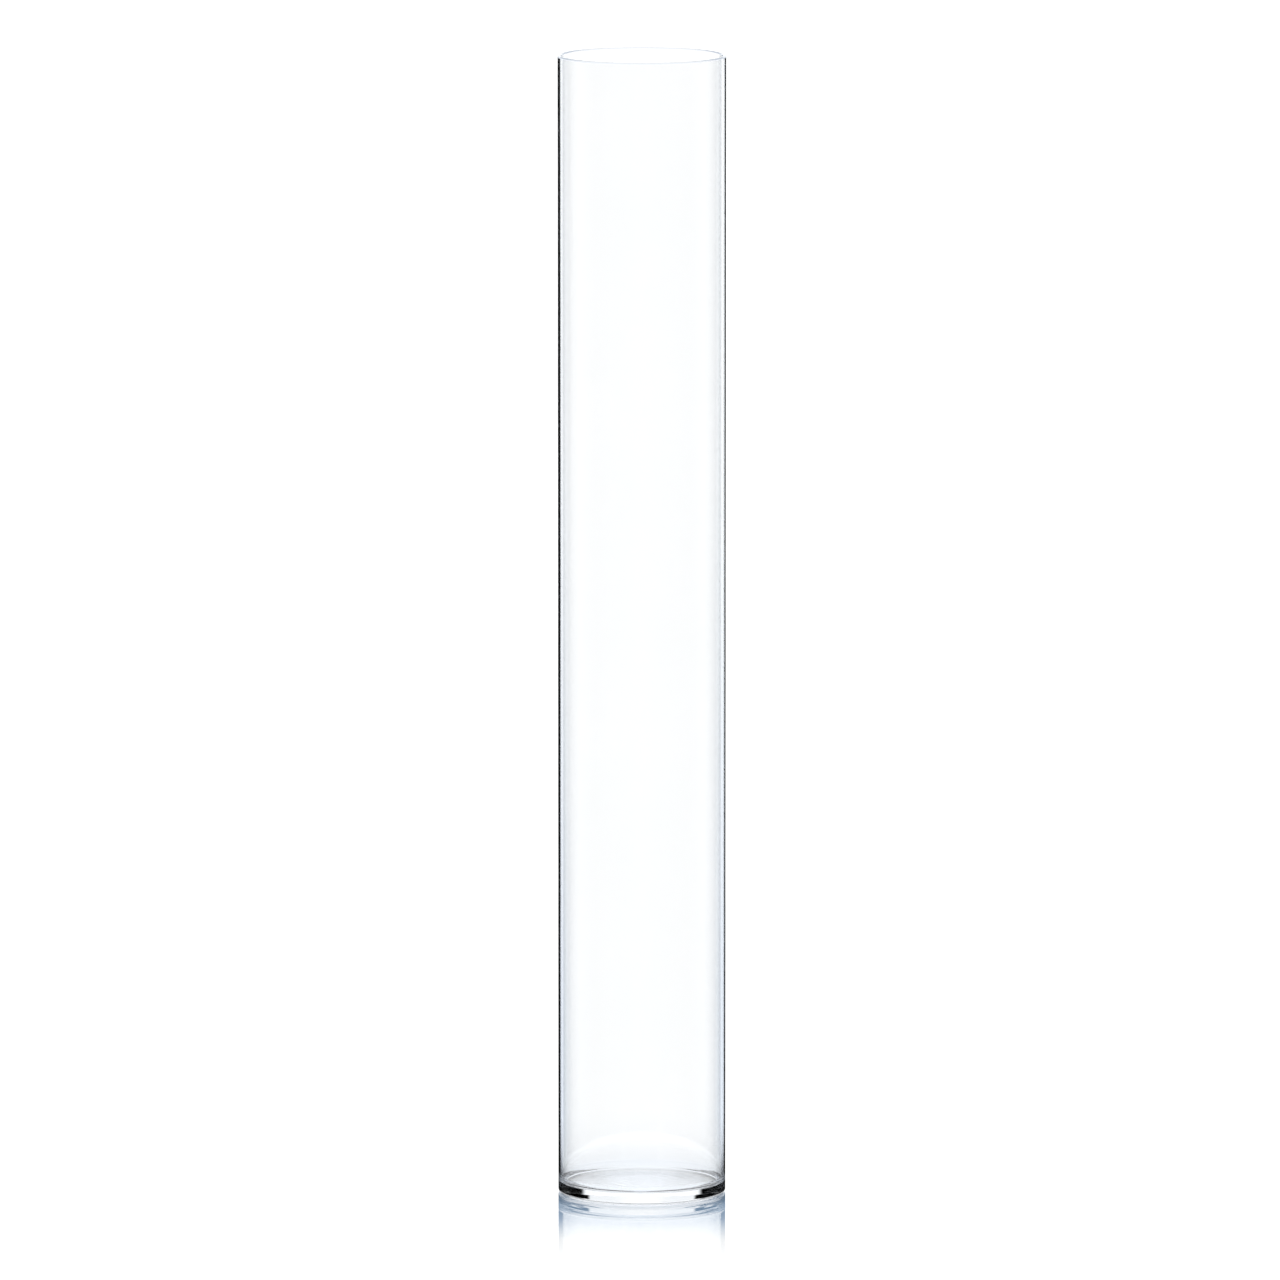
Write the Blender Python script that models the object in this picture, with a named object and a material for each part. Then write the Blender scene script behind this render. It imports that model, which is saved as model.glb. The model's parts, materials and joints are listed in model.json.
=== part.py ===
"""Tall clear glass cylinder vase.

Metres, +Z up. The origin is the middle of the foot, on the surface that the vase stands on.
The vase is a straight glass tube, cylinder_wall, joined to a thick glass bottom, base_disc.
On a finished vase the glass of the two is melted together. Here a thin gap marks the joint.
"""

import math

import bpy

# Driving dimensions
OUTER_DIAMETER = 0.0892
HEIGHT = 0.6096
WALL_THICKNESS = 0.0022
FLOOR_THICKNESS = 0.0055
HEEL_RADIUS = 0.0015
FILLET_RADIUS = 0.004
JOINT_GAP = 0.0003

# How finely round shapes are drawn
TURN_STEPS = 96
ARC_STEPS = 6
SMOOTH_ANGLE = math.radians(40)
MERGE_DISTANCE = 0.00001

# Dimensions that follow from the driving ones
OUTER_RADIUS = OUTER_DIAMETER / 2
BORE_RADIUS = OUTER_RADIUS - WALL_THICKNESS
RIM_RADIUS = WALL_THICKNESS / 2
BASE_TOP = FLOOR_THICKNESS + FILLET_RADIUS
WALL_BOTTOM = BASE_TOP + JOINT_GAP

# Clear soda-lime glass
GLASS_COLOR = (0.93, 0.96, 0.98, 1.0)
GLASS_ROUGHNESS = 0.02
GLASS_IOR = 1.52


def clear_scene():
    for thing in list(bpy.data.objects):
        bpy.data.objects.remove(thing, do_unlink=True)


def glass(name):
    """Return a clear glass material."""
    material = bpy.data.materials.new(name)
    material.use_nodes = True
    shader = material.node_tree.nodes["Principled BSDF"]
    shader.inputs["Base Color"].default_value = GLASS_COLOR
    shader.inputs["Roughness"].default_value = GLASS_ROUGHNESS
    shader.inputs["Metallic"].default_value = 0.0
    shader.inputs["IOR"].default_value = GLASS_IOR
    shader.inputs["Transmission Weight"].default_value = 1.0
    return material


def arc(center_x, center_z, radius, start_degrees, end_degrees):
    """Return the points of an arc in the XZ plane, both ends included."""
    points = []
    for step in range(ARC_STEPS + 1):
        degrees = start_degrees + (end_degrees - start_degrees) * step / ARC_STEPS
        angle = math.radians(degrees)
        points.append((center_x + radius * math.cos(angle), center_z + radius * math.sin(angle)))
    return points


def turned_piece(name, outline, closed, parent):
    """Turn an outline at +X, given as (x, z) points, into a round piece about the Z axis."""
    mesh = bpy.data.meshes.new(name)
    edges = [(i, i + 1) for i in range(len(outline) - 1)]
    if closed:
        edges.append((len(outline) - 1, 0))
    mesh.from_pydata([(x, 0.0, z) for x, z in outline], edges, [])
    mesh.materials.append(glass(name + "_glass"))

    piece = bpy.data.objects.new(name, mesh)
    bpy.context.collection.objects.link(piece)
    piece.parent = parent

    screw = piece.modifiers.new("turn", "SCREW")
    screw.axis = "Z"
    screw.angle = math.tau
    screw.steps = TURN_STEPS
    screw.render_steps = TURN_STEPS
    screw.use_merge_vertices = True
    screw.merge_threshold = MERGE_DISTANCE
    screw.use_smooth_shade = True
    return piece


def soften(piece):
    """Apply the turning and shade the piece smooth, with its true edges kept sharp."""
    evaluated = piece.evaluated_get(bpy.context.evaluated_depsgraph_get())
    mesh = bpy.data.meshes.new_from_object(evaluated)
    mesh.name = piece.name
    mesh.shade_smooth()
    mesh.set_sharp_from_angle(angle=SMOOTH_ANGLE)
    piece.modifiers.clear()
    piece.data = mesh


def wall_outline():
    """The wall's section: over the rounded rim, down its outer side, across the joint, up the bore."""
    rim = arc(OUTER_RADIUS - RIM_RADIUS, HEIGHT - RIM_RADIUS, RIM_RADIUS, 180, 0)
    return rim + [(OUTER_RADIUS, WALL_BOTTOM), (BORE_RADIUS, WALL_BOTTOM)]


def base_outline():
    """The base's section: out along the floor, up the fillet, down the side, round the heel, in to the axis."""
    fillet = arc(BORE_RADIUS - FILLET_RADIUS, BASE_TOP, FILLET_RADIUS, -90, 0)
    heel = arc(OUTER_RADIUS - HEEL_RADIUS, HEEL_RADIUS, HEEL_RADIUS, 0, -90)
    return [(0.0, FLOOR_THICKNESS)] + fillet + [(OUTER_RADIUS, BASE_TOP)] + heel + [(0.0, 0.0)]


def build_vase():
    vase = bpy.data.objects.new("vase", None)
    bpy.context.collection.objects.link(vase)
    pieces = [
        turned_piece("cylinder_wall", wall_outline(), closed=True, parent=vase),
        turned_piece("base_disc", base_outline(), closed=False, parent=vase),
    ]
    bpy.context.view_layer.update()
    for piece in pieces:
        soften(piece)


clear_scene()
build_vase()
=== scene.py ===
"""Looks for the tall clear glass cylinder vase: fused glass, a glossy pale floor, studio light and camera.

Metres, +Z up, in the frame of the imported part. The camera looks along +Y.
"""

import json
import math
from types import SimpleNamespace

import bpy
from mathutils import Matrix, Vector


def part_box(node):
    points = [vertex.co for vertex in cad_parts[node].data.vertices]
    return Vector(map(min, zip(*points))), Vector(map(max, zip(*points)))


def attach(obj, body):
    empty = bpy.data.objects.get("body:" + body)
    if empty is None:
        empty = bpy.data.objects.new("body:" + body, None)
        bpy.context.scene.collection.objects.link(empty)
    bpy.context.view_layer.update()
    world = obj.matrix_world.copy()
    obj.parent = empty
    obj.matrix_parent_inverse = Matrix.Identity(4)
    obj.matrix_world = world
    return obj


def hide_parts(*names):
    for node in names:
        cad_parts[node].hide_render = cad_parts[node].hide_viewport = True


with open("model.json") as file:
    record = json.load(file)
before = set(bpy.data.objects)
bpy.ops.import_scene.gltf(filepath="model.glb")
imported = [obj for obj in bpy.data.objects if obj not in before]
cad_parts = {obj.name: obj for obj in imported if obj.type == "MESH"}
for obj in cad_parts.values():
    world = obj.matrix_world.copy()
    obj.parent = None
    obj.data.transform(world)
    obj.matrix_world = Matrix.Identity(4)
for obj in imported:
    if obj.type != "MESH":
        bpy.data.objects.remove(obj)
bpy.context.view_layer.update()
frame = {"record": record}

# Sizes read from the frame
BASE_LOW, BASE_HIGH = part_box("base_disc")
WALL_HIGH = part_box("cylinder_wall")[1]
MOUNTS = {mount["name"]: mount for mount in frame["record"]["mounts"]}
OUTER_RADIUS = (BASE_HIGH.x - BASE_LOW.x) / 2
HEIGHT = WALL_HIGH.z
JOINT_Z = BASE_HIGH.z
FLOOR_Z = MOUNTS["inner_floor"]["pos_m"][2]

# Sizes of the glass, as in the CAD part
WALL_THICKNESS = 0.0022
HEEL_RADIUS = 0.0015
FILLET_RADIUS = JOINT_Z - FLOOR_Z
BORE_RADIUS = OUTER_RADIUS - WALL_THICKNESS
FLOOR_RADIUS = BORE_RADIUS - FILLET_RADIUS
FOOT_RADIUS = OUTER_RADIUS - HEEL_RADIUS

# Long shallow waves in the wall: their depth, two rates in radians per metre of height, and the shift of one
WALL_WAVE = 0.00002
WALL_WAVE_RATES = (61.0, 23.0)
WALL_WAVE_SHIFT = 1.0
# Faint rings in the inner floor: their height, radius per radian, and the radius where they reach full height
FLOOR_RIPPLE = 0.000005
FLOOR_RING_SIZE = 0.0009
FLOOR_RING_START = 0.01
# How much the rings' height changes twice in a turn, and the angle this starts from, in radians
FLOOR_RING_SWING = 0.3
FLOOR_RING_TURN = 0.7
# The underside is hollow inside a flat standing ring
FOOT_HOLLOW = 0.0001
FOOT_RING_WIDTH = 0.004
# Its ripples: their height, how many are in a turn, the second ones' shift, and the smooth width at the edge
FOOT_RIPPLE = 0.000012
FOOT_RIPPLES = (27, 37)
FOOT_RIPPLE_SHIFT = 1.0
FOOT_SMOOTH_RIM = 0.001

# How finely the glass is drawn
TURN_STEPS = 256
ARC_STEPS = 14
WALL_STEPS = 48
FLOOR_STEPS = 64
EDGE_MARGIN = 0.0002
LEVEL_MARGIN = 0.000001
SHARP_ANGLE = math.radians(50)

# The glass: how it bends light, its patches of slightly different tint and polish, and its waviness
GLASS_IOR = 1.52
GLASS_PATCH_SCALE = 14.0
GLASS_PATCH_DETAIL = 3.0
GLASS_TINT_STEP = (0.35, 0.65)
GLASS_TINT_A = (0.982, 0.989, 0.993)
GLASS_TINT_B = (0.988, 0.992, 0.997)
GLASS_POLISH_STEP = (0.4, 0.7)
GLASS_ROUGHNESS = (0.0, 0.003)
GLASS_WAVE_SCALE = 22.0
GLASS_WAVE_DEPTH = 0.000004

# Painted glow, for light caught inside the glass: the bounce at which a ray makes the glass glow, the glow's
# colour, and how far it reaches to either side in the bottom, as seen by the camera
PAINTED_GLOW_BOUNCES = 12
PAINTED_GLOW_COLOR = (0.50, 0.56, 0.65)
PAINTED_GLOW_REACH = (0.008, 0.022)
# Painted shade: the glass turns black for a ray reflected more often than this, at the far left and right of
# the bottom, below this height, so the glass is dark there
PAINTED_SHADE_REFLECTIONS = 2.5
PAINTED_SHADE_REACH = (0.031, 0.038)
PAINTED_SHADE_HEIGHT = 0.0052

# Camera: places in metres, lens and sensor in millimetres
CAMERA_DISTANCE = 7.30
CAMERA_HEIGHT = 1.323
CAMERA_AIM = Vector((-0.0010, 0.0, 0.2972))
CAMERA_LENS = 389.8
SENSOR_WIDTH = 36.0
CAMERA_RANGE = 50.0

BLACK = (0.0, 0.0, 0.0)
# The backdrop: where it ends to either side, in degrees from the line of sight, for falling rays and for rays
# that rise from the floor
BACKDROP_EDGE = (27.5, 30.5)
UPPER_BACKDROP_EDGE = (31.0, 36.0)
# Directions back towards the camera are dark, told by how far forward one metre of them goes. A line of sight
# that is steeper than STEEP_VIEW has no such dark side
BACKDROP_REACH = (-0.95, -0.85)
STEEP_VIEW = (0.6, 0.8)
# Its colour in the middle, and towards its ends for level and for falling rays
BACKDROP_COLOR = (1.21, 1.21, 1.205)
BACKDROP_DIMMING = (3.0, 16.0)
BACKDROP_HIGH_END = (1.10, 1.13, 1.16)
BACKDROP_LOW_END = (0.94, 1.00, 1.06)
# What is seen through the bottom, mirrored in the floor
BOTTOM_COLOR = (1.13, 1.17, 1.22)

# The dark gap beside the backdrop ends where the side light starts, in degrees. On the left it grows by a few
# degrees for level rays
LEFT_GAP = (20.0, 21.5)
LEFT_GAP_GROWTH = 3.0
RIGHT_GAP = (14.5, 16.0)
# The side light is strong next to the gap, weaker after this step, and fades out further round
SIDE_STEP = (30.0, 38.0)
SIDE_STEP_LEVEL = 0.45
SIDE_FADE = (70.0, 110.0)
# Height of a direction one metre long: below the first value a ray is falling, above the second it is level
SIDE_RISE = (-0.175, -0.12)
SIDE_HIGH_COLOR = (1.36, 1.40, 1.44)
SIDE_LOW_COLOR = (1.08, 1.16, 1.28)
# How much of the side light shows in the glass's outermost face
SIDE_SHEEN = 0.05

# How far a ray's slope may differ from the camera's before it meets the pale light above and below, how far
# that light reaches to either side, in degrees, and its colour
SLANT_EDGE = (0.06, 0.12)
SLANT_WIDTH = (60.0, 88.0)
SLANT_COLOR = (0.93, 0.95, 0.98)

# Floor: how far it lies below the foot, and the length of its sides
FLOOR_GAP = 0.0003
FLOOR_SIZE = 4.0
# Distance from the vase's axis, and how much of the floor's own pale colour shows there. Where green and blue
# exceed red, the floor glows for the camera: a painted blue-grey tint in its mirror image
FLOOR_FADE = (
    (0.040, (0.03, 0.05, 0.08)),
    (0.065, (0.14, 0.21, 0.30)),
    (0.098, (0.28, 0.35, 0.45)),
    (0.124, (0.52, 0.57, 0.63)),
    (0.153, (0.73, 0.745, 0.76)),
    (0.181, (0.80, 0.81, 0.82)),
    (0.250, (1.0, 1.0, 1.0)),
)
FLOOR_PATCH_SCALE = 6.0
FLOOR_PATCH_DETAIL = 3.0
FLOOR_PATCH_REACH = 0.006
FLOOR_POLISH_STEP = (0.3, 0.7)
MIRROR_ROUGHNESS = (0.0, 0.004)
# How much light the floor's mirror image keeps, seen directly and seen through the glass
MIRROR_SEEN = 0.80
MIRROR_THROUGH_GLASS = 0.92

# How many times light may bounce
BOUNCES = 32
GLOSSY_BOUNCES = 16


def arc(center_x, center_z, radius, start_degrees, end_degrees):
    """Return the points of an arc in the XZ plane, both ends included."""
    points = []
    for step in range(ARC_STEPS + 1):
        angle = math.radians(start_degrees + (end_degrees - start_degrees) * step / ARC_STEPS)
        points.append((center_x + radius * math.cos(angle), center_z + radius * math.sin(angle)))
    return points


def line(start, end, steps=1):
    """Return the points after start, up to and including end.

    Besides the evenly spaced ones, one lies close to each end, so that a smooth shaded bend beside it stays
    local.
    """
    length = math.hypot(end[0] - start[0], end[1] - start[1])
    parts = [EDGE_MARGIN / length] + [i / steps for i in range(1, steps)] + [1 - EDGE_MARGIN / length, 1.0]
    return [(start[0] + (end[0] - start[0]) * part, start[1] + (end[1] - start[1]) * part) for part in parts]


def turn_points(outline, shape):
    """Turn (radius, z) points around the axis. Return all points, and each one's ring of point numbers."""
    verts = []
    rings = []
    for radius, z in outline:
        if radius == 0.0:
            rings.append([len(verts)] * TURN_STEPS)
            verts.append(shape(0.0, 0.0, z))
            continue
        ring = []
        for step in range(TURN_STEPS):
            angle = math.tau * step / TURN_STEPS
            ring.append(len(verts))
            verts.append(shape(radius * math.cos(angle), radius * math.sin(angle), z))
        rings.append(ring)
    return verts, rings


def band_faces(upper, lower):
    """Return the faces between two rings. At the axis, where a ring is one point, they are triangles."""
    faces = []
    for step in range(TURN_STEPS):
        after = (step + 1) % TURN_STEPS
        corners = (upper[step], lower[step], lower[after], upper[after])
        faces.append(list(dict.fromkeys(corners)))
    return faces


def lathe(name, outline, closed, hidden_band, shape):
    """Turn (radius, z) points into a mesh object.

    The faces of the band that starts at point hidden_band get material slot 1. shape(x, y, z) moves each
    point a little, to give the glass its irregularities.
    """
    verts, rings = turn_points(outline, shape)
    bands = len(rings) if closed else len(rings) - 1
    faces = []
    for band in range(bands):
        faces += band_faces(rings[band], rings[(band + 1) % len(rings)])

    mesh = bpy.data.meshes.new(name)
    mesh.from_pydata(verts, [], faces)
    mesh.shade_smooth()
    first_hidden = hidden_band * TURN_STEPS
    for index in range(first_hidden, first_hidden + TURN_STEPS):
        mesh.polygons[index].material_index = 1
        mesh.polygons[index].use_smooth = False
    mesh.set_sharp_from_angle(angle=SHARP_ANGLE)
    piece = bpy.data.objects.new(name, mesh)
    bpy.context.scene.collection.objects.link(piece)
    return piece


def shape_wall(x, y, z):
    """Give the wall its long shallow waves."""
    fast, slow = WALL_WAVE_RATES
    wave = WALL_WAVE * math.sin(z * fast) * math.sin(z * slow + WALL_WAVE_SHIFT)
    grow = 1.0 - wave / OUTER_RADIUS
    return (x * grow, y * grow, z)


def shape_base(x, y, z):
    """Give the inner floor its faint rings, and make the underside a little uneven, most near its edge."""
    radius = math.hypot(x, y)
    angle = math.atan2(y, x)
    if z >= FLOOR_Z - LEVEL_MARGIN and radius < FLOOR_RADIUS:
        swing = 1.0 + FLOOR_RING_SWING * math.sin(2 * angle + FLOOR_RING_TURN)
        start = min(1.0, radius / FLOOR_RING_START)
        z += FLOOR_RIPPLE * swing * math.sin(radius / FLOOR_RING_SIZE) * start
    if z < FOOT_HOLLOW + LEVEL_MARGIN and radius < FOOT_RADIUS - FOOT_SMOOTH_RIM:
        few, many = FOOT_RIPPLES
        ripple = math.sin(few * angle) + math.sin(many * angle + FOOT_RIPPLE_SHIFT)
        z += FOOT_RIPPLE * (ripple / 2 + 1.0) * (radius / OUTER_RADIUS) ** 2
    return (x, y, z)


def build_wall():
    """The tube: over the rounded rim, down its outer side, across the fused joint, up the bore."""
    rim_radius = WALL_THICKNESS / 2
    outline = arc(OUTER_RADIUS - rim_radius, HEIGHT - rim_radius, rim_radius, 180, 0)
    outline += line(outline[-1], (OUTER_RADIUS, JOINT_Z), WALL_STEPS)
    hidden_band = len(outline) - 1
    outline.append((BORE_RADIUS, JOINT_Z))
    outline += line((BORE_RADIUS, JOINT_Z), (BORE_RADIUS, HEIGHT - rim_radius), WALL_STEPS)[:-1]
    return lathe("wall_glass", outline, True, hidden_band, shape_wall)


def build_base():
    """The bottom: out along the floor, up the fillet, across the joint, down, round the heel, and under."""
    fillet = arc(FLOOR_RADIUS, JOINT_Z, FILLET_RADIUS, -90, 0)
    heel = arc(FOOT_RADIUS, HEEL_RADIUS, HEEL_RADIUS, 0, -90)
    outline = [(0.0, FLOOR_Z)]
    outline += line((0.0, FLOOR_Z), fillet[0], FLOOR_STEPS)
    outline += fillet[1:]
    hidden_band = len(outline) - 1
    outline.append((OUTER_RADIUS, JOINT_Z))
    outline += line(outline[-1], heel[0])
    outline += heel[1:]
    ring_inside = FOOT_RADIUS - FOOT_RING_WIDTH
    outline += line(outline[-1], (ring_inside, 0.0))
    for step in range(1, ARC_STEPS + 1):
        part = step / ARC_STEPS
        rise = FOOT_HOLLOW * (1 - math.cos(math.pi * min(1.0, part * 2))) / 2
        outline.append((ring_inside * (1 - part), rise))
    return lathe("base_glass", outline, False, hidden_band, shape_base)


def new_material(name):
    """Return a new material, its node tree and its shader."""
    material = bpy.data.materials.new(name)
    material.use_nodes = True
    tree = material.node_tree
    return material, tree, tree.nodes["Principled BSDF"]


def feed(tree, socket, source):
    """Give a socket another node's output, a number, a direction or a colour."""
    if isinstance(source, bpy.types.NodeSocket):
        tree.links.new(source, socket)
    elif isinstance(source, tuple) and len(socket.default_value) > len(source):
        socket.default_value = (*source, 1.0)
    else:
        socket.default_value = source


def math_node(tree, operation, *values):
    """Return the result of one operation on numbers or outputs."""
    node = tree.nodes.new("ShaderNodeMath")
    node.operation = operation
    for socket, value in zip(node.inputs, values):
        feed(tree, socket, value)
    return node.outputs[0]


def product(tree, first, *others):
    """Return all the values multiplied together."""
    for other in others:
        first = math_node(tree, "MULTIPLY", first, other)
    return first


def opposite(tree, value):
    """Return 1 for 0, and 0 for 1."""
    return math_node(tree, "SUBTRACT", 1.0, value)


def step_node(tree, value, low, high, start=0.0, end=1.0):
    """Return a smooth step from start, where value is low, to end, where it is high."""
    node = tree.nodes.new("ShaderNodeMapRange")
    node.interpolation_type = "SMOOTHSTEP"
    sockets = {"Value": value, "From Min": low, "From Max": high, "To Min": start, "To Max": end}
    for name, source in sockets.items():
        feed(tree, node.inputs[name], source)
    return node.outputs["Result"]


def mix_colors(tree, factor, first, second):
    """Return first where factor is 0 and second where it is 1."""
    node = tree.nodes.new("ShaderNodeMix")
    node.data_type = "RGBA"
    for index, source in ((0, factor), (6, first), (7, second)):
        feed(tree, node.inputs[index], source)
    return node.outputs[2]


def noise_node(tree, scale, detail=0.0):
    """Return a soft random value from 0 to 1 that changes with the place on the object."""
    coordinates = tree.nodes.new("ShaderNodeTexCoord")
    node = tree.nodes.new("ShaderNodeTexNoise")
    node.inputs["Scale"].default_value = scale
    node.inputs["Detail"].default_value = detail
    tree.links.new(coordinates.outputs["Object"], node.inputs["Vector"])
    return node.outputs["Fac"]


def split(tree, vector):
    """Return the X, Y and Z of a vector."""
    node = tree.nodes.new("ShaderNodeSeparateXYZ")
    tree.links.new(vector, node.inputs[0])
    return node.outputs


def change_space(tree, vector, kind, start, end):
    """Return the X, Y and Z of a POINT or a VECTOR, carried from one space to another (WORLD or CAMERA)."""
    node = tree.nodes.new("ShaderNodeVectorTransform")
    node.vector_type = kind
    node.convert_from = start
    node.convert_to = end
    feed(tree, node.inputs[0], vector)
    return split(tree, node.outputs[0])


def uneven_surface(tree, shader):
    """Give the glass patches of slightly different polish and a faint waviness. Return the patches' tint."""
    patches = noise_node(tree, GLASS_PATCH_SCALE, GLASS_PATCH_DETAIL)
    roughness = step_node(tree, patches, *GLASS_POLISH_STEP, *GLASS_ROUGHNESS)
    tree.links.new(roughness, shader.inputs["Roughness"])
    bump = tree.nodes.new("ShaderNodeBump")
    bump.inputs["Distance"].default_value = GLASS_WAVE_DEPTH
    tree.links.new(noise_node(tree, GLASS_WAVE_SCALE), bump.inputs["Height"])
    tree.links.new(bump.outputs["Normal"], shader.inputs["Normal"])
    return mix_colors(tree, step_node(tree, patches, *GLASS_TINT_STEP), GLASS_TINT_A, GLASS_TINT_B)


def glass_material(name):
    """Clear polished glass, not quite even in tint, polish and flatness.

    Painted glow makes the rim and the middle of the bottom pale; painted shade keeps the bottom's sides dark.
    """
    material, tree, shader = new_material(name)
    light_path = tree.nodes.new("ShaderNodeLightPath")
    position = tree.nodes.new("ShaderNodeNewGeometry").outputs["Position"]
    height = split(tree, position)["Z"]
    off_middle = math_node(tree, "ABSOLUTE", change_space(tree, position, "POINT", "WORLD", "CAMERA")["X"])

    tint = uneven_surface(tree, shader)
    # Painted shade: black colour low at the bottom's far sides, for a ray reflected more than a few times
    long_way = math_node(tree, "GREATER_THAN", light_path.outputs["Glossy Depth"], PAINTED_SHADE_REFLECTIONS)
    low = math_node(tree, "LESS_THAN", height, PAINTED_SHADE_HEIGHT)
    painted_shade = product(tree, step_node(tree, off_middle, *PAINTED_SHADE_REACH), long_way, low)
    tree.links.new(mix_colors(tree, painted_shade, tint, BLACK), shader.inputs["Base Color"])

    # Painted glow: for a ray at the given bounce, the glass glows pale in its upper half and near the middle,
    # as seen by the camera
    upper = math_node(tree, "GREATER_THAN", height, HEIGHT / 2)
    middle = step_node(tree, off_middle, *PAINTED_GLOW_REACH, 1.0, 0.0)
    glow_bounce = math_node(tree, "COMPARE", light_path.outputs["Ray Depth"], PAINTED_GLOW_BOUNCES, 0.5)
    glow = product(tree, math_node(tree, "MAXIMUM", upper, middle), glow_bounce)
    tree.links.new(glow, shader.inputs["Emission Strength"])
    shader.inputs["Emission Color"].default_value = (*PAINTED_GLOW_COLOR, 1.0)
    shader.inputs["IOR"].default_value = GLASS_IOR
    shader.inputs["Transmission Weight"].default_value = 1.0
    return material


def joint_material():
    """The fused joint: light passes straight from one piece into the other."""
    material, _, shader = new_material("fused_joint")
    shader.inputs["Alpha"].default_value = 0.0
    return material


def read_ray(tree):
    """Return what the studio light needs to know about a ray: where it points, and which way it has come.

    Values that answer a question, such as crossed, are 1 for yes and 0 for no. Angles are in degrees.
    """
    light_path = tree.nodes.new("ShaderNodeLightPath")
    direction = tree.nodes.new("ShaderNodeTexCoord").outputs["Generated"]
    reflections = light_path.outputs["Glossy Depth"]
    crossings = light_path.outputs["Transmission Depth"]
    ray = SimpleNamespace()

    # How far forward and how far to the side it points, as seen by the camera
    seen = change_space(tree, direction, "VECTOR", "WORLD", "CAMERA")
    ray.forward = seen["Z"]
    ray.angle = math_node(tree, "DEGREES", math_node(tree, "ARCTAN2", seen["X"], seen["Z"]))
    ray.away = math_node(tree, "ABSOLUTE", ray.angle)
    reach = math_node(tree, "ABSOLUTE", seen["X"])
    ray.sideways = math_node(tree, "DEGREES", math_node(tree, "ARCSINE", reach))

    # Rise and fall, and how far the slope differs from the camera's own
    rise = split(tree, direction)["Z"]
    ray.high = step_node(tree, rise, *SIDE_RISE)
    ray.upward = math_node(tree, "GREATER_THAN", rise, 0.0)
    camera_axis = change_space(tree, (0.0, 0.0, 1.0), "VECTOR", "CAMERA", "WORLD")
    ray.camera_slope = math_node(tree, "ABSOLUTE", camera_axis["Z"])
    slope = math_node(tree, "ABSOLUTE", rise)
    ray.slant = math_node(tree, "ABSOLUTE", math_node(tree, "SUBTRACT", slope, ray.camera_slope))

    # What it has met: any glass, more than one wall, the floor, the bottom, an odd number of upright mirrors
    ray.past_glass = math_node(tree, "GREATER_THAN", crossings, 0.5)
    ray.crossed = math_node(tree, "GREATER_THAN", crossings, 2.5)
    ray.from_floor = product(tree, ray.upward, math_node(tree, "LESS_THAN", reflections, 1.5))
    ray.through_bottom = product(tree, ray.from_floor, ray.crossed)
    odd = math_node(tree, "MODULO", reflections, 2.0)
    turned = math_node(tree, "ABSOLUTE", math_node(tree, "SUBTRACT", ray.upward, odd))
    reflected = math_node(tree, "GREATER_THAN", reflections, 0.5)
    ray.mirrored = product(tree, turned, reflected, opposite(tree, product(tree, ray.upward, ray.crossed)))
    return ray


def backdrop_light(tree, ray):
    """The bright backdrop straight ahead, dimmer towards its ends, and its image in the bare floor."""
    ahead = step_node(tree, ray.forward, *BACKDROP_REACH)
    ahead = math_node(tree, "MAXIMUM", ahead, step_node(tree, ray.camera_slope, *STEEP_VIEW))
    narrow = step_node(tree, ray.sideways, *BACKDROP_EDGE, 1.0, 0.0)
    wide = step_node(tree, ray.sideways, *UPPER_BACKDROP_EDGE, 1.0, 0.0)
    lit = product(tree, ahead, step_node(tree, ray.from_floor, 0.0, 1.0, narrow, wide))
    end_color = mix_colors(tree, ray.high, BACKDROP_LOW_END, BACKDROP_HIGH_END)
    dimming = step_node(tree, ray.sideways, *BACKDROP_DIMMING)
    color = mix_colors(tree, dimming, BACKDROP_COLOR, end_color)
    color = mix_colors(tree, ray.through_bottom, color, BOTTOM_COLOR)
    backdrop = mix_colors(tree, lit, BLACK, color)
    bare_floor = product(tree, ray.from_floor, opposite(tree, ray.past_glass))
    return mix_colors(tree, bare_floor, backdrop, tuple(part / MIRROR_SEEN for part in BACKDROP_COLOR))


def side_light(tree, ray):
    """The soft light to either side, past the dark gap beside the backdrop."""
    is_right = math_node(tree, "GREATER_THAN", ray.angle, 0.0)
    growth = product(tree, ray.high, LEFT_GAP_GROWTH)
    left = step_node(tree, math_node(tree, "SUBTRACT", ray.away, growth), *LEFT_GAP)
    right = step_node(tree, ray.away, *RIGHT_GAP)
    beyond_gap = step_node(tree, is_right, 0.0, 1.0, left, right)
    beyond_gap = step_node(tree, ray.crossed, 0.0, 1.0, beyond_gap, 1.0)
    near = step_node(tree, ray.away, *SIDE_STEP, 1.0, SIDE_STEP_LEVEL)
    fade = step_node(tree, ray.away, *SIDE_FADE, 1.0, 0.0)
    sheen = step_node(tree, ray.past_glass, 0.0, 1.0, SIDE_SHEEN, 1.0)
    level = product(tree, beyond_gap, opposite(tree, ray.upward), near, fade, sheen)
    return mix_colors(tree, level, BLACK, mix_colors(tree, ray.high, SIDE_LOW_COLOR, SIDE_HIGH_COLOR))


def slanted_light(tree, ray):
    """The pale light above and below."""
    color = mix_colors(tree, ray.through_bottom, SLANT_COLOR, BOTTOM_COLOR)
    return mix_colors(tree, step_node(tree, ray.sideways, *SLANT_WIDTH, 1.0, 0.0), BLACK, color)


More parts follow.
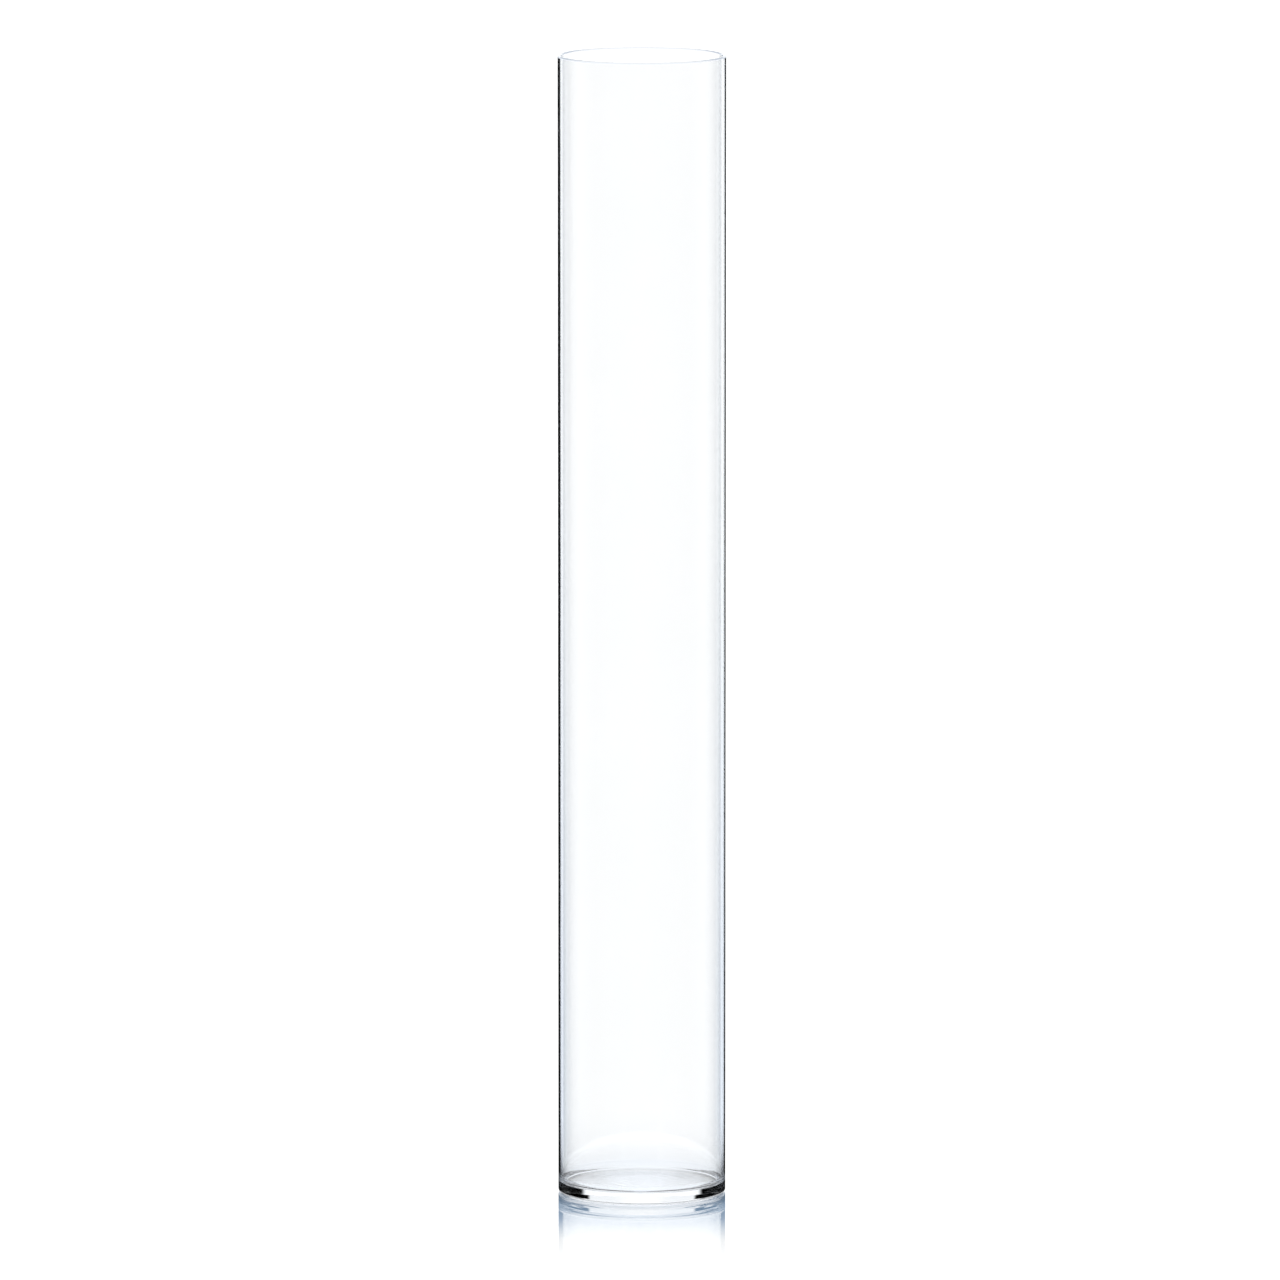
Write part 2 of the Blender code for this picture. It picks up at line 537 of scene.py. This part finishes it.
def build_world():
    """A bright backdrop straight ahead of the camera, soft light beside it, and pale light above and below.

    Glass that stands upright mirrors the sides, so its edges are drawn by the dark gap beside the backdrop.
    A ray that met an odd number of upright mirrors is told by its slope and by how often it was reflected.
    """
    world = bpy.data.worlds.new("studio")
    bpy.context.scene.world = world
    world.use_nodes = True
    tree = world.node_tree
    ray = read_ray(tree)
    walls = mix_colors(tree, ray.mirrored, backdrop_light(tree, ray), side_light(tree, ray))
    room = mix_colors(tree, step_node(tree, ray.slant, *SLANT_EDGE), walls, slanted_light(tree, ray))
    tree.links.new(room, tree.nodes["Background"].inputs["Color"])


def floor_fade(tree, patches):
    """Return how much of the floor's own pale colour shows. It grows with the distance from the vase."""
    full_reach = FLOOR_FADE[-1][0]
    distance = tree.nodes.new("ShaderNodeVectorMath")
    distance.operation = "LENGTH"
    position = tree.nodes.new("ShaderNodeNewGeometry").outputs["Position"]
    tree.links.new(position, distance.inputs[0])
    ramp = tree.nodes.new("ShaderNodeValToRGB")
    while len(ramp.color_ramp.elements) < len(FLOOR_FADE):
        ramp.color_ramp.elements.new(0.5)
    for element, (radius, color) in zip(ramp.color_ramp.elements, FLOOR_FADE):
        element.position = radius / full_reach
        element.color = (*color, 1.0)
    uneven = math_node(tree, "MULTIPLY_ADD", patches, FLOOR_PATCH_REACH, distance.outputs["Value"])
    tree.links.new(math_node(tree, "DIVIDE", uneven, full_reach), ramp.inputs[0])
    return ramp.outputs["Color"]


def floor_material():
    """A glossy pale surface: a clear blue-grey mirror image at the foot that fades out around it.

    The backdrop shows through the floor as strongly as the fade is red. For the camera alone, the floor glows
    with what the fade has more in green and blue, a painted blue-grey tint, and keeps a little less of the
    mirror image.
    """
    material, tree, unused_shader = new_material("pale_glossy_floor")
    tree.nodes.remove(unused_shader)
    is_seen = tree.nodes.new("ShaderNodeLightPath").outputs["Is Camera Ray"]
    patches = noise_node(tree, FLOOR_PATCH_SCALE, FLOOR_PATCH_DETAIL)
    fade = floor_fade(tree, patches)
    parts = tree.nodes.new("ShaderNodeSeparateColor")
    tree.links.new(fade, parts.inputs["Color"])
    red = parts.outputs["Red"]
    clear = tree.nodes.new("ShaderNodeBsdfTransparent")
    tree.links.new(red, clear.inputs["Color"])

    color = mix_colors(tree, is_seen, red, fade)
    blue = tree.nodes.new("ShaderNodeVectorMath")
    blue.operation = "SUBTRACT"
    tree.links.new(color, blue.inputs[0])
    tree.links.new(red, blue.inputs[1])
    # Painted glow: a blue-grey tint in the floor's mirror image, for the camera alone
    glow = tree.nodes.new("ShaderNodeEmission")
    glow.inputs["Strength"].default_value = BACKDROP_COLOR[0]
    tree.links.new(blue.outputs["Vector"], glow.inputs["Color"])

    inverse = tree.nodes.new("ShaderNodeInvert")
    tree.links.new(color, inverse.inputs["Color"])
    mirrored = tree.nodes.new("ShaderNodeVectorMath")
    mirrored.operation = "SCALE"
    tree.links.new(inverse.outputs["Color"], mirrored.inputs[0])
    kept = step_node(tree, is_seen, 0.0, 1.0, MIRROR_THROUGH_GLASS, MIRROR_SEEN)
    tree.links.new(kept, mirrored.inputs["Scale"])
    mirror = tree.nodes.new("ShaderNodeBsdfGlossy")
    tree.links.new(mirrored.outputs["Vector"], mirror.inputs["Color"])
    roughness = step_node(tree, patches, *FLOOR_POLISH_STEP, *MIRROR_ROUGHNESS)
    tree.links.new(roughness, mirror.inputs["Roughness"])

    total = clear
    for part in (glow, mirror):
        both = tree.nodes.new("ShaderNodeAddShader")
        tree.links.new(total.outputs[0], both.inputs[0])
        tree.links.new(part.outputs[0], both.inputs[1])
        total = both
    tree.links.new(total.outputs[0], tree.nodes["Material Output"].inputs["Surface"])
    return material


def build_floor():
    """A square floor just below the foot."""
    half = FLOOR_SIZE / 2
    mesh = bpy.data.meshes.new("studio_floor")
    corners = [(-half, -half, 0), (half, -half, 0), (half, half, 0), (-half, half, 0)]
    mesh.from_pydata(corners, [], [(0, 1, 2, 3)])
    mesh.materials.append(floor_material())
    floor = bpy.data.objects.new("studio_floor", mesh)
    floor.location.z = -FLOOR_GAP
    bpy.context.scene.collection.objects.link(floor)


def build_camera():
    """A long lens from a distance, looking slightly down."""
    data = bpy.data.cameras.new("camera")
    data.lens = CAMERA_LENS
    data.sensor_width = SENSOR_WIDTH
    data.clip_end = CAMERA_RANGE
    camera = bpy.data.objects.new("camera", data)
    camera.location = (CAMERA_AIM.x, -CAMERA_DISTANCE, CAMERA_HEIGHT)
    camera.rotation_euler = (CAMERA_AIM - camera.location).to_track_quat("-Z", "Y").to_euler()
    bpy.context.scene.collection.objects.link(camera)
    bpy.context.scene.camera = camera


def build_vase():
    """Each glass piece stands for the CAD piece of the same place, and shares the see-through joint."""
    joint = joint_material()
    builders = {"cylinder_wall": build_wall, "base_disc": build_base}
    for node, build in builders.items():
        piece = build()
        piece.data.materials.append(glass_material(piece.name + "_clear"))
        piece.data.materials.append(joint)
        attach(piece, "root")
        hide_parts(node)


def set_quality():
    """Let light pass through many glass faces, and keep the white of the studio pure."""
    scene = bpy.context.scene
    scene.view_settings.view_transform = "Standard"
    scene.cycles.max_bounces = BOUNCES
    scene.cycles.transmission_bounces = BOUNCES
    scene.cycles.glossy_bounces = GLOSSY_BOUNCES
    scene.cycles.transparent_max_bounces = BOUNCES


build_world()
build_floor()
build_camera()
build_vase()
set_quality()
